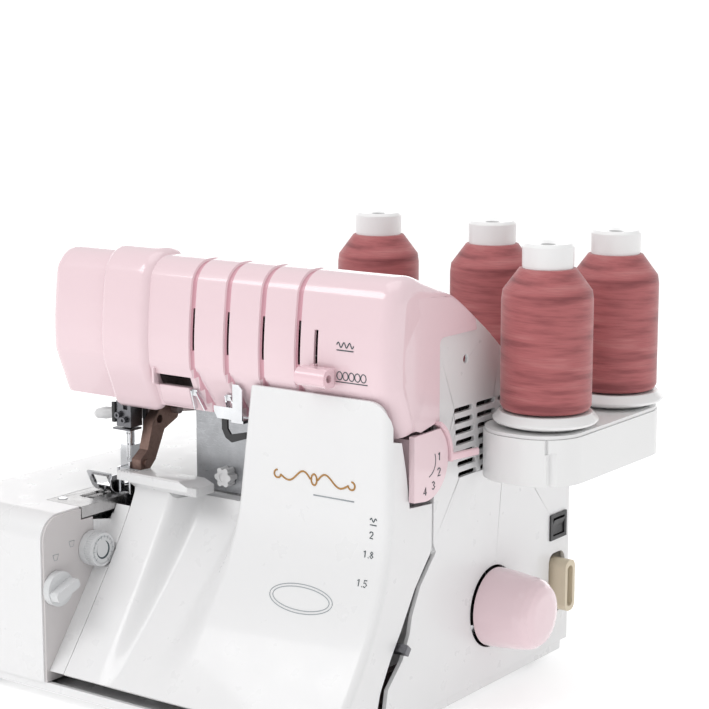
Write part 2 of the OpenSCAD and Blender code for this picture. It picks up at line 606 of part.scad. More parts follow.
// Lever between the side wall and the letter plate, with a lip round the plate and a thumb tab
module stitch_lever() color("lightpink") {
  rod_x(3, 116, side_x + 2.2, dial_c.x, dial_c.y);
  along_x(side_x + 0.5, side_x + 2.2) {
    translate(dial_c) circle(5);
    translate(dial_c) rotate(-3) translate([0, -2]) square([27, 4]);
  }
  along_x(side_x + 0.5, side_x + 6.2) polygon(concat(arc(dial_c, 28.2, -8, 60, 16),
    arc(dial_c, 25.6, 60, -8, 16)));
  translate([side_x + 4.4, dial_c.x + 26.4, dial_c.y - 1]) rotate([0, 0, 78])
    rotate([0, 90, 0]) linear_extrude(25.5) pad([-2.5, -1.7], [2.5, 1.7], 1.3);
}
module mode_slide() color("lightpink") difference() {
  union() {
    rod_x(6, 66.5, 89.5, -97.5, 236.2);
    box([66.5, -97.5, 230.2], [89.5, -91.6, 242.2]);
    box([71.7, -92, 236.2 - gap], [73.7, -78, 243]);
    box([68, -80, 233], [77.4, -77.4, 246]);
  }
  rod_x(2.6, 70, 90, -97.5, 236.2);
}
module feed_lever() color("lightgray") {
  difference() {
    union() {
      rod_x(7, 116, 120, feed_pivot.x, feed_pivot.y);
      along_x(116, 120) polygon([[-103, 34], [-94, 34], [-76, 60], [-78, 66], [-84, 66]]);
      along_x(116, 138) polygon([[-82.6, 63], [-78.8, 59.6], [-75.4, 64], [-79.2, 67.4]]);
    }
    rod_x(3.1, 115, 121, feed_pivot.x, feed_pivot.y);
  }
}
module feed_lever_pin() {
  rod_x(3, 107, 122, feed_pivot.x, feed_pivot.y);
  box([107, -106, 10.4], [113, -40.2, 40]);
}
module switch_frame() color("black") difference() {
  union() {
    box([side_x - 16, 109, 93.6], [side_x + 0.2, 128.8, 109.8]);
    box([side_x + 0.1, 107.8, 92.4], [side_x + 1.4, 130, 111]);
  }
  box([side_x - 14, 111, 95.2], [side_x + 2, 126.8, 108.4]);
  rod_y(1.6, 109.4, 128.4, side_x - 2, 101.6);
}
module power_rocker() color("black") {
  along_y(111.6, 126.2) polygon([[side_x - 7, 98.4], [side_x - 1, 96.2], [side_x + 0.4, 96],
    [side_x + 0.3, 101.6],
    [side_x + 2.2, 107], [side_x - 1, 107.2], [side_x - 7, 104.8]]);
  rod_y(1.5, 109.6, 128.2, side_x - 2, 101.6);
}
module inlet_block() color("wheat") difference() {
  union() {
    along_x(side_x - 18, side_x + 11.6) pad([111.4, 41], [125, 78], 5.6);
    box([side_x - 22, 108.6, 39], [side_x - 18, 129.4, 83]);
  }
  along_x(side_x - 6, side_x + 13) pad([114.6, 44.5], [121.8, 74], 3);
}
module inlet_pins() for (z = [50, 58.5, 67]) rod_x(1.2, side_x - 6, side_x + 6, 118.2, z);
module threading_knob() color("white") {
  difference() {
    union() {
      rod_y(5.4, -50.4, -42.4, -36.5, 146);
      for (a = [0:60:300]) rod_y(2.1, -50.4, -42.4, -36.5 + 5 * cos(a), 146 + 5 * sin(a));
    }
    rod_y(3.2, -51, -49.6, -36.5, 146);
  }
  rod_y(3, -42.5, -24, -36.5, 146);
}

// ---- thread path on the arm ----
module thread_guides() color("silver") {
  guide_bracket();
  tension_discs();
  for (x = [slots_x[0], slots_x[1]]) thread_guide(x);
}
module thread_guide(x) {
  translate([x - 4, -86, 213]) rotate([16, 0, 0]) box([0, 0, -14], [1, 3, 0]);
  translate([x - 0.5, -85.4, 212]) rotate([14, -22, 0]) box([0, 0, -14], [0.9, 3, 0]);
  box([x - 4, -84.6, 209.6], [x + 1, -83.6, 213.6]);
}
module guide_bracket() {
  along_y(-88.2, -87) polygon([[-12, 206], [4, 206], [4, 222], [9, 222], [12, 219], [12, 198], [-9, 198],
    [-12, 203]]);
  box([2, -87.1, 196], [12, -80, 198.1]);
}
module guide_hook() along_y(-84.4, -82.8)
  polygon([[-8.4, 197.4], [-3.6, 197.4], [-3.6, 190.6], [-0.8, 187], [12, 190], [12, 185.6], [0, 181.6],
    [-5.4, 184.4], [-8.4, 190]]);
module tension_discs() for (x = slots_x) {
  for (s = [-1, 1]) rod_x(9, x + s * 1.7 - 0.4, x + s * 1.7 + 0.4, -64, 250);
  rod_x(2, x - 8, x + 8, -64, 250);
}
module tension_carrier() {
  for (x = slots_x, s = [-1, 1]) box([x + s * 9.2 - 1, -68, 212.4], [x + s * 9.2 + 1, -54, 256]);
  box([-45, -54, 212.4], [75, -51, 256]);
}
module arm_underside() color("black") {
  tension_carrier();
  guide_hook();
  underside_plate();
}
module underside_plate() difference() {
  box([-152, -70.8, arm_bottom + 0.6], [pillar_x - 4, 60, arm_bottom + 2.6]);
  box([-130.4, -75, 190], [-104.5, -38, 210]);
  box([-137, -30, 190], [-88, 0, 210]);
  box([-108.6, -38, 190], [-88.4, -19.4, 210]);
  box([-150.6, 5.4, 190], [pillar_x, 9.6, 210]);
}
// Rear skirt of the casting behind the needles
module arm_shroud() along_y(6, 9)
  polygon([[-150, 205.4], [-150, 176], [-138, 170], [-67, 182], [-67, 205.4]]);

// ---- spool stand ----
module tray_outline(in) {
  pad([side_x + 1 + in, -6 + in], [spool_x + 31.5 - in, 150 - in], 31 - in);
  pad([spool_x - 2 * spool_pitch - 38 + in, rear_spool_y - 34 + in],
    [spool_x + 31.5 - in, 150 - in], 28 - in);
}
// Recess in the tray's front right corner, grown by g
module niche(g) polygon([[189.2 - g, -30], [190.5 - g, 4 + g], [201 - g * 0.8, 5.5 + g],
  [203.1 - g, 15.5 + g],
                         [230, 15.5 + g], [230, -30]]);
module spool_tray() color("white") {
  tray_shell();
  pole_socket();
}
module tray_shell() {
  roof = tray_z1 - 11;
  difference() {
    union() {
      translate([0, 0, tray_z0]) linear_extrude(roof - tray_z0 + 0.1) difference() {
        tray_outline(0);
        niche(0);
      }
      translate([0, 0, roof]) linear_extrude(tray_z1 - 2.4 - roof) tray_outline(0);
    }
    translate([0, 0, tray_z0 + 2.6]) linear_extrude(roof + 2.4 - tray_z0 - 2.6 + 0.1) difference() {
      tray_outline(2.6);
      niche(2.6);
    }
    translate([0, 0, roof + 2.4]) linear_extrude(20) tray_outline(2.6);
    // slit beside the cap over the recess
    box([189.3, -12, roof - 1], [191.3, 2, tray_z1]);
  }
}
module tray_lid() color("white") {
  lid_plate();
  for (s = spools) rod_z(4, tray_z0 + 2.6, disc_top + 86, s.x, s.y);
}
module lid_plate() difference() {
  translate([0, 0, tray_z1 - 2.4 + gap / 2]) linear_extrude(2.2) tray_outline(1);
  rod_z(6, tray_z1 - 6, tray_z1 + 2, 20, rear_spool_y + 4);
}
module pole_socket() difference() {
  rod_z(9, tray_z0 + 2.5, tray_z1 - 3, 20, rear_spool_y + 4);
  rod_z(5, tray_z0 + 6, tray_z1, 20, rear_spool_y + 4);
}
module tray_brackets() {
  box([side_x - 90, 96, 146], [side_x - 84, 128, shoulder_z - wall - 0.4]);
  box([-30, 96, 146], [-24, 128, shoulder_z - wall - 0.4]);
}
module spool_discs() color("white") for (s = spools) translate([s.x, s.y, tray_z1 + gap]) difference() {
  rotate_extrude($fn = 96) polygon([[4.05, 0], [24, 0], [33.6, 3.2], [34.9, 4.8], [34.4, 6], [31.6, 9],
    [30.8, disc_top - tray_z1 - gap], [11.2, disc_top - tray_z1 - gap], [11, 22], [7, 26], [4.05, 26]]);
}
module wound_thread(s) translate([s.x, s.y, disc_top + gap]) rotate_extrude($fn = 96)
  polygon([[tube_r + 0.1, 1], [spool_r - 1.6, 1], [spool_r, 4], [spool_r, 73], [spool_r - 0.8, 79],
    [tube_r + 2.2, 93.2], [tube_r + 0.1, 93.6]]);
module spool_tube(s) translate([s.x, s.y, disc_top + gap]) rotate_extrude($fn = 96)
  polygon([[11.6, 0], [tube_r, 0], [tube_r, 94], [tube_r + 0.4, 95.2], [tube_r + 0.4, spool_h - 2],
    [tube_r - 1.4, spool_h],
    [5, spool_h - 1], [5, spool_h - 4], [tube_r - 2.6, spool_h - 4], [tube_r - 2.6, 26], [11.6, 24]]);

module hinge_rod() color("silver") {
  rod_x(2.5, -90, 126, hinge_y, hinge_z);
  for (x = [-40, 60]) {
    box([x, hinge_y - 1, 27], [x + 6, -122, 31]);
    box([x, -127, 10.4], [x + 6, -122, 31]);
  }
}
// Pins and brackets of the lifter, the upper knife, the loopers and the feed lever
module pivot_brackets() color("gray") {
  lifter_pivot();
  knife_pivot();
  looper_shafts();
  feed_lever_pin();
}
module thread_front() color("indianred") wound_thread(spools[0]);
module thread_right() color("indianred") wound_thread(spools[1]);
module thread_middle() color("indianred") wound_thread(spools[2]);
module thread_left() color("indianred") wound_thread(spools[3]);
module tube_front() color("white") spool_tube(spools[0]);
module tube_right() color("white") spool_tube(spools[1]);
module tube_middle() color("white") spool_tube(spools[2]);
module tube_left() color("white") spool_tube(spools[3]);

arm_cover();
end_cover();
take_up_cover();
rear_housing();
bed_cover();
control_panel();
base_pan();
rubber_feet();
front_cover();
hinge_rod();
throat_plate();
cast_frame();
pivot_brackets();
main_shaft();
handwheel();
upper_shaft();
drive_belts();
motor();
motor_pulley();
needle_bar();
needle_clamp();
needle_screws();
needles();
presser_bar();
presser_foot();
lifter_lever();
needle_plate();
screws();
main_feed_dog();
differential_feed_dog();
lower_knife();
upper_knife();
knife_arm();
lower_looper();
upper_looper();
threading_tubes();
width_dial();
length_dial();
letter_plate();
stitch_lever();
mode_slide();
feed_lever();
switch_frame();
power_rocker();
inlet_block();
threading_knob();
thread_guides();
cloth_guide();
arm_underside();
spool_tray();
tray_lid();
spool_discs();
thread_front();
thread_right();
thread_middle();
thread_left();
tube_front();
tube_right();
tube_middle();
tube_left();
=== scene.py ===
"""Looks of the serger overlock machine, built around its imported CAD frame."""
import json
import math

import bmesh
import bpy
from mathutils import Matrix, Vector


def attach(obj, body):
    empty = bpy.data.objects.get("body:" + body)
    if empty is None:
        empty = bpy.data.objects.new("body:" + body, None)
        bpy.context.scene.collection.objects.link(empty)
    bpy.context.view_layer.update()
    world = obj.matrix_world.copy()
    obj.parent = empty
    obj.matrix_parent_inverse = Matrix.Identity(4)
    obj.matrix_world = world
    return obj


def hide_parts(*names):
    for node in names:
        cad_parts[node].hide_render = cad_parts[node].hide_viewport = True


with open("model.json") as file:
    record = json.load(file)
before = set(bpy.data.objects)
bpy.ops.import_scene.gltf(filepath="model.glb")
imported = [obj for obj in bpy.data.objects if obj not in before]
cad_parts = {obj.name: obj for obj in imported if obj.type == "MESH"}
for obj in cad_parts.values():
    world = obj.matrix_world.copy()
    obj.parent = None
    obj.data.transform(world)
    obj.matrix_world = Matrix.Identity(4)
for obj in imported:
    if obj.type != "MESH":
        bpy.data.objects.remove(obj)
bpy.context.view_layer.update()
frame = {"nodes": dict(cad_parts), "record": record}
MM = 0.001
LEFT, SIDE = -159.5, 131.5          # ends of the arm
CAP = -108.0                        # joint of the end cover
SLOTS = [-30 + 29.3 * i for i in range(4)]


# ---- materials ----
class Graph:
    """A material's node tree with a Principled shader, built in a few calls."""

    def __init__(self, name, base, rough, **sockets):
        self.mat = bpy.data.materials.new(name)
        self.mat.use_nodes = True
        self.tree = self.mat.node_tree
        self.bsdf = self.tree.nodes["Principled BSDF"]
        self.bsdf.inputs["Base Color"].default_value = (*base, 1)
        self.bsdf.inputs["Roughness"].default_value = rough
        for key, value in sockets.items():
            self.bsdf.inputs[key.replace("_", " ")].default_value = value
        self.coord = self.add("ShaderNodeTexCoord").outputs["Object"]
        self.normal = None
        self.base, self.rough = base, rough

    def add(self, kind, **inputs):
        node = self.tree.nodes.new(kind)
        for key, value in inputs.items():
            self.put(node, key.replace("_", " "), value)
        return node

    def put(self, node, key, value):
        if isinstance(value, bpy.types.NodeSocket):
            self.tree.links.new(value, node.inputs[key])
        else:
            node.inputs[key].default_value = value

    def noise(self, scale, detail=3.0, stretch=(1, 1, 1)):
        where = self.add("ShaderNodeVectorMath", Vector=self.coord)
        where.operation = "MULTIPLY"
        where.inputs[1].default_value = stretch
        node = self.add("ShaderNodeTexNoise", Scale=scale, Detail=detail)
        self.tree.links.new(where.outputs[0], node.inputs["Vector"])
        return node.outputs["Fac"]

    def ranged(self, value, low, high, source=(0.3, 0.7)):
        node = self.add("ShaderNodeMapRange")
        for key, number in zip(("From Min", "From Max", "To Min", "To Max"), (*source, low, high)):
            node.inputs[key].default_value = number
        self.tree.links.new(value, node.inputs["Value"])
        return node.outputs["Result"]

    def tint(self, fac, other):
        """The base colour shifts towards other where fac is high."""
        node = self.add("ShaderNodeMix")
        node.data_type = "RGBA"
        self.put(node, "Factor", fac)
        a, b = node.inputs[6], node.inputs[7]      # the two colour inputs of a Mix node
        old = self.bsdf.inputs["Base Color"]
        if old.is_linked:
            self.tree.links.new(old.links[0].from_socket, a)
        else:
            a.default_value = (*self.base, 1)
        b.default_value = (*other, 1)
        self.tree.links.new(node.outputs[2], old)

    def roughen(self, fac, low, high):
        self.tree.links.new(self.ranged(fac, low, high), self.bsdf.inputs["Roughness"])

    def bump(self, height, strength, distance):
        node = self.add("ShaderNodeBump", Height=height, Strength=strength, Distance=distance)
        if self.normal:
            self.tree.links.new(self.normal, node.inputs["Normal"])
        self.normal = node.outputs["Normal"]
        self.tree.links.new(self.normal, self.bsdf.inputs["Normal"])

    def paint_hollow_shade(self, colour, amount):
        """Painted shade: hollows (low pointiness) darken towards the colour, by up to amount."""
        point = self.add("ShaderNodeNewGeometry").outputs["Pointiness"]
        self.tint(self.ranged(point, 0.0, amount, (0.5, 0.42)), colour)


def plastic(name, base, rough, coat, grain=0.00002, dirt=(0.45, 0.42, 0.4)):
    g = Graph(name, base, rough, Coat_Weight=coat, Coat_Roughness=0.06, IOR=1.5)
    cloud = g.noise(9, 1)
    g.tint(g.ranged(cloud, 0, 0.5), tuple(c * 0.965 for c in base))
    g.roughen(g.noise(60, 5), rough * 0.85, rough * 1.25)
    g.bump(g.noise(2600, 2), 0.1, grain)
    g.bump(g.noise(55, 1), 0.12, 0.0002)
    g.tint(g.ranged(g.noise(24, 2), 0, 0.02, (0.5, 0.9)), dirt)
    return g.mat


def metal(name, base, rough, stretch=(1, 1, 1), scratch=0.00003, scale=900, dark=0.4):
    g = Graph(name, base, rough, Metallic=1.0)
    g.tint(g.ranged(g.noise(70, 5), 0, 0.6), tuple(c * 0.72 for c in base))
    lines = g.noise(scale, 3, stretch)
    g.roughen(lines, rough * 0.7, rough * 1.5)
    g.bump(lines, 0.3, scratch)
    # Painted shade in the hollows: concave spots darken towards dark times the base colour.
    g.paint_hollow_shade(tuple(c * dark for c in base), 0.6)
    return g.mat


def thread_material():
    """Wound thread: fine turns with a slight pitch, and irregular darker bands."""
    g = Graph("thread_rose", (0.42, 0.115, 0.12), 0.62, Sheen_Weight=0.35, Sheen_Roughness=0.4)
    split = g.add("ShaderNodeSeparateXYZ", Vector=g.coord)
    side = g.add("ShaderNodeSeparateXYZ")
    g.tree.links.new(g.tree.nodes["Texture Coordinate"].outputs["Normal"], side.inputs[0])
    turn = g.add("ShaderNodeMath")
    turn.operation = "ARCTAN2"
    g.tree.links.new(side.outputs["Y"], turn.inputs[0])
    g.tree.links.new(side.outputs["X"], turn.inputs[1])
    pitch = g.add("ShaderNodeMath")
    pitch.operation = "MULTIPLY_ADD"
    g.tree.links.new(turn.outputs[0], pitch.inputs[0])
    pitch.inputs[1].default_value = 0.0011
    g.tree.links.new(split.outputs["Z"], pitch.inputs[2])

    def along(height, round_scale):
        node = g.add("ShaderNodeCombineXYZ")
        for index, (socket, factor) in enumerate(((turn.outputs[0], round_scale),
                    (pitch.outputs[0], height))):
            scaled = g.add("ShaderNodeMath")
            scaled.operation = "MULTIPLY"
            g.tree.links.new(socket, scaled.inputs[0])
            scaled.inputs[1].default_value = factor
            g.tree.links.new(scaled.outputs[0], node.inputs[index])
        return node.outputs[0]

    bands = g.add("ShaderNodeTexNoise", Scale=1.0, Detail=4.0, Vector=along(150, 0.55)).outputs["Fac"]
    fine = g.add("ShaderNodeTexNoise", Scale=1.0, Detail=2.0, Vector=along(1500, 1.5)).outputs["Fac"]
    g.tint(g.ranged(bands, 0, 0.75, (0.5, 0.68)), (0.17, 0.03, 0.036))
    g.tint(g.ranged(bands, 0, 0.5, (0.46, 0.3)), (0.58, 0.24, 0.235))
    g.tint(g.ranged(fine, 0, 0.5, (0.5, 0.75)), (0.25, 0.055, 0.06))
    turns = g.add("ShaderNodeTexWave", Scale=1.0, Distortion=0.6, Detail=1.0, Vector=along(420, 0.0))
    turns.bands_direction = "Y"
    g.bump(turns.outputs["Fac"], 0.5, 0.00018)
    g.bump(fine, 0.7, 0.00025)
    g.bump(bands, 0.4, 0.0004)
    return g.mat


PINK = plastic("pink_gloss", (0.82, 0.63, 0.67), 0.2, 0.7, dirt=(0.62, 0.33, 0.38))
ROSE = plastic("pink_light", (0.84, 0.60, 0.65), 0.22, 0.6, dirt=(0.6, 0.3, 0.36))
# Darker pink for the faces deep in the thread grooves: painted shade in the grooves.
GROOVE_SHADE = plastic("pink_groove_shade", (0.66, 0.36, 0.42), 0.35, 0.2)
WHITE = plastic("white_satin", (0.80, 0.80, 0.805), 0.3, 0.3)
TRAY = plastic("white_tray", (0.82, 0.82, 0.82), 0.33, 0.2)
GREY = plastic("grey_panel", (0.60, 0.575, 0.575), 0.42, 0.1)
DIAL = plastic("dial_white", (0.66, 0.67, 0.68), 0.4, 0.1)
TUBE = plastic("tube_white", (0.86, 0.86, 0.86), 0.35, 0.25)
CREAM = plastic("inlet_cream", (0.70, 0.61, 0.46), 0.5, 0.05, 0.00004)
CLEAR = plastic("tube_nylon", (0.62, 0.62, 0.64), 0.3, 0.3)
BLACK = plastic("black_plastic", (0.018, 0.018, 0.02), 0.4, 0.15, 0.00004, (0.05, 0.05, 0.05))
RUBBER = plastic("rubber", (0.03, 0.03, 0.03), 0.75, 0.0, 0.00008, (0.09, 0.09, 0.09))
INK = plastic("print_ink", (0.06, 0.085, 0.095), 0.5, 0.0)
PALE_INK = plastic("print_grey", (0.33, 0.36, 0.38), 0.5, 0.0)
GOLD = plastic("print_gold", (0.42, 0.21, 0.05), 0.45, 0.1)
MOTOR = plastic("motor_paint", (0.07, 0.07, 0.08), 0.45, 0.1)
STEEL = metal("panel_steel", (0.50, 0.51, 0.53), 0.34, (1, 1, 24), 0.00002, 300)
PLATE = metal("plate_steel", (0.58, 0.57, 0.57), 0.27, (1, 30, 1), 0.00002, 260)
CHROME = metal("bright_steel", (0.76, 0.77, 0.79), 0.11, (1, 1, 1), 0.00001)
DARK = metal("oiled_steel", (0.21, 0.21, 0.225), 0.3, (1, 1, 8))
CAST = metal("casting", (0.36, 0.30, 0.30), 0.5, (1, 1, 1), 0.0002, 400)
BRONZE = metal("knife_bracket", (0.30, 0.2, 0.17), 0.42, (1, 1, 1), 0.0001, 500)
THREAD = thread_material()

BY_SLOT = {"pink_cover": PINK, "light_pink": ROSE, "white_cover": WHITE, "white_tray": TRAY,
           "grey_panel": GREY, "white_dial": DIAL, "rubber": RUBBER, "panel_steel": STEEL,
           "bright_steel": CHROME, "dark_steel": DARK, "feed_steel": PLATE, "casting": CAST,
           "motor_paint": MOTOR, "black_plastic": BLACK, "tube_plastic": CLEAR, "inlet_plastic": CREAM,
           "thread": THREAD, "spool_tube": TUBE}


# ---- mesh helpers: every length is in millimetres of the row frame ----
def mesh(name, verts, faces, material, body="machine", slot=None, merge=0.01, flip=False):
    data = bpy.data.meshes.new(name)
    data.from_pydata([tuple(c * MM for c in v) for v in verts], [], faces)
    bm = bmesh.new()
    bm.from_mesh(data)
    bmesh.ops.remove_doubles(bm, verts=bm.verts, dist=merge * MM)
    bmesh.ops.dissolve_degenerate(bm, edges=bm.edges, dist=1e-6)
    if flip:
        bmesh.ops.reverse_faces(bm, faces=bm.faces)
    bm.to_mesh(data)
    bm.free()
    obj = bpy.data.objects.new(name, data)
    bpy.context.scene.collection.objects.link(obj)
    data.materials.append(material)
    for polygon in data.polygons:
        polygon.use_smooth = True
    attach(obj, body)
    return obj


def soften(obj, width=0.5, segments=3, angle=32, weld=True, shade=40):
    """Joins split corners, rounds the sharp edges and shades the rest smooth."""
    if weld:
        obj.modifiers.new("weld", "WELD").merge_threshold = 1e-6
    if width:
        bevel = obj.modifiers.new("bevel", "BEVEL")
        bevel.width, bevel.segments = width * MM, segments
        bevel.limit_method, bevel.angle_limit = "ANGLE", math.radians(angle)
        bevel.use_clamp_overlap = True
        bevel.miter_outer = "MITER_ARC"
    for polygon in obj.data.polygons:
        polygon.use_smooth = True
    normals = obj.modifiers.new("normals", "WEIGHTED_NORMAL")
    normals.keep_sharp, normals.weight = False, 80
    return obj


def grid(rows, close=False):
    """Vertices and faces of a sheet through equal rows of points."""
    n = len(rows[0])
    verts = [p for row in rows for p in row]
    faces = []
    for k in range(len(rows) - 1):
        for i in range(n if close else n - 1):
            j = (i + 1) % n
            faces.append((k * n + i, k * n + j, (k + 1) * n + j, (k + 1) * n + i))
    return verts, faces


def prism(name, outline, axis, a, b, material, body="machine", bevel=0.4, slot=None):
    """A flat outline pushed from a to b along the axis 0, 1 or 2."""
    def place(u, v, w):
        return [(w, u, v), (u, w, v), (u, v, w)][axis]
    n = len(outline)
    verts = [place(u, v, a) for u, v in outline] + [place(u, v, b) for u, v in outline]
    faces = [tuple(range(n)), tuple(range(2 * n - 1, n - 1, -1))]
    faces += [(i, n + i, n + (i + 1) % n, (i + 1) % n) for i in range(n)]
    obj = mesh(name, verts, faces, material, body, slot)
    fix_normals(obj)
    return soften(obj, bevel) if bevel else obj


def fix_normals(obj):
    bm = bmesh.new()
    bm.from_mesh(obj.data)
    bmesh.ops.recalc_face_normals(bm, faces=bm.faces)
    bm.to_mesh(obj.data)
    bm.free()


def tube_mesh(points, radius, sides=12, taper=None):
    """Vertices and faces of a round rod along a path of points, with closed ends."""
    pts = [Vector(p) for p in points]
    rows, up = [], Vector((0.13, 0.41, 0.9)).normalized()
    for i, p in enumerate(pts):
        d = (pts[min(i + 1, len(pts) - 1)] - pts[max(i - 1, 0)]).normalized()
        side = d.cross(up).normalized()
        other = d.cross(side).normalized()
        r = radius * (taper[i] if taper else 1)
        rows.append([tuple(p + (side * math.cos(t) + other * math.sin(t)) * r)
                     for t in [2 * math.pi * k / sides for k in range(sides)]])
    rows = [[tuple(pts[0])] * sides] + rows + [[tuple(pts[-1])] * sides]
    return grid(rows, close=True)


def marks(name, paths, place, width, material, body="machine", slot=None):
    """Printed lines: fine beads half sunk in a surface, all in one mesh."""
    verts, faces = [], []
    for path in paths:
        v, f = tube_mesh([place(a, b) for a, b in path], width / 2, 6)
        faces += [tuple(k + len(verts) for k in face) for face in f]
        verts += v
    obj = mesh(name, verts, faces, material, body, slot, merge=0.0005)
    fix_normals(obj)
    return obj


GLYPHS = {"1": [[(0.1, 0.8), (0.35, 1), (0.35, 0)]],
          "2": [[(0, 0.75), (0.1, 0.94), (0.32, 1), (0.55, 0.9), (0.58, 0.65), (0.4, 0.4), (0, 0),
                (0.62, 0)]],
          "3": [[(0, 0.9), (0.3, 1), (0.55, 0.78), (0.28, 0.54), (0.6, 0.28), (0.3, 0), (0, 0.12)]],
          "4": [[(0.46, 0), (0.46, 1), (0, 0.3), (0.64, 0.3)]],
          "5": [[(0.58, 1), (0.1, 1), (0.05, 0.56), (0.34, 0.62), (0.6, 0.34), (0.34, 0), (0, 0.1)]],
          "8": [[(0.3, 0.53), (0.08, 0.76), (0.3, 1), (0.52, 0.76), (0.3, 0.53), (0.02, 0.26), (0.3, 0),
                 (0.58, 0.26), (0.3, 0.53)]],
          ".": [[(0.1, 0), (0.16, 0.07)]]}


def numeral(text, u, v, height):
    """Strokes of a numeral with its lower left corner at u, v."""
    paths = []
    for letter in text:
        for path in GLYPHS[letter]:
            paths.append([(u + a * height, v + b * height) for a, b in path])
        u += (0.38 if letter == "." else 0.85) * height
    return paths


def arc(cy, cz, r, a0, a1, n):
    return [(cy + r * math.cos(math.radians(a0 + (a1 - a0) * i / n)),
             cz + r * math.sin(math.radians(a0 + (a1 - a0) * i / n))) for i in range(n + 1)]


def smooth(t):
    t = min(1.0, max(0.0, t))
    return t * t * (3 - 2 * t)


def mix(a, b, t):
    return a + (b - a) * t


def lookup(x, table):
    for (x0, y0), (x1, y1) in zip(table, table[1:]):
        if x <= x1:
            return mix(y0, y1, max(0.0, (x - x0) / (x1 - x0)))
    return table[-1][1]


def chaikin(points, rounds):
    for _ in range(rounds):
        cut = [points[0]]
        for (ax, ay), (bx, by) in zip(points, points[1:]):
            cut += [(mix(ax, bx, 0.25), mix(ay, by, 0.25)), (mix(ax, bx, 0.75), mix(ay, by, 0.75))]
        points = cut + [points[-1]]
    return points


def resample(points, step):
    out, carry = [points[0]], 0.0
    for a, b in zip(points, points[1:]):
        length = math.dist(a, b)
        t = step - carry
        while t < length:
            out.append((mix(a[0], b[0], t / length), mix(a[1], b[1], t / length)))
            t += step
        carry = length - (t - step)
    return out + [points[-1]]


# ---- the pink arm ----
UPPER = chaikin([(-88.5, 229.5), (-88.85, 238), (-88.9, 248), (-87.6, 265)] + arc(-66, 280, 20, 172, 90,
                8)[1:]
                + [(-58, 300), (-50, 297), (-36, 291), (-14.5, 280), (5, 267)], 2)
FRONT_PATH = [(-76, 198), (-78.4, 204), (-82, 213), (-85.6, 221.6), (-87.6, 227)] + resample(UPPER, 2.2)
REAR_PATH = chaikin([(5, 267), (22, 255.5), (38, 243), (52, 231), (66, 218), (72, 210)], 2)


def path_normals(path):
    """Inward normals of a path that runs up the front and over the top."""
    out = []
    for i in range(len(path)):
        a, b = path[max(0, i - 1)], path[min(len(path) - 1, i + 1)]
        d = math.dist(a, b) or 1
        out.append(((b[1] - a[1]) / d, -(b[0] - a[0]) / d))
    return out


def groove_depth(x, z, y):
    """Depth of the thread grooves at a point on the arm's front."""
    shift = 0.34 * max(0.0, 228.5 - z)
    fade = 1 - smooth((y + 57) / 10) if z > 270 else 1.0
    depth = 0.0
    for centre in SLOTS:
        u = abs(x - shift - centre) / 2.5
        if u < 1:
            depth = max(depth, 2.3 * (1 - u ** 4) * fade)
    return depth


def arm_sheet(xs, path, round_right=0.0, round_left=0.0, raise_by=0.0, grooves=False, fade_back=(-60, -20)):
    """Rows of points over the arm's front and top; the ends turn in by the given radii."""
    normals = path_normals(path)
    rows = []
    for x in xs:
        row = []
        for (y, z), (ny, nz) in zip(path, normals):
            weight = 1 - smooth((y - fade_back[0]) / (fade_back[1] - fade_back[0]))
            d = -raise_by
            for r, run in ((round_right, xs[-1] - x), (round_left, x - xs[0])):
                if r and run < r:
                    d += weight * (r - math.sqrt(max(0.0, r * r - (r - run) ** 2)))
            if grooves:
                d += groove_depth(x, z, y)
            row.append((x, y + ny * d, z + nz * d))
        rows.append(row)
    return rows


def ramp(a, b, step):
    n = max(1, round(abs(b - a) / step))
    return [mix(a, b, i / n) for i in range(n + 1)]


def rounded(end, r, sign, n=7):
    """Positions along x that follow a round edge of radius r."""
    return [end - sign * r * (1 - math.sin(math.pi / 2 * i / n)) for i in range(1, n + 1)]


def shell(obj, thickness, bevel):
    solid = obj.modifiers.new("solid", "SOLIDIFY")
    solid.thickness, solid.offset = thickness * MM, -1
    return soften(obj, bevel, 3, 50, weld=False)


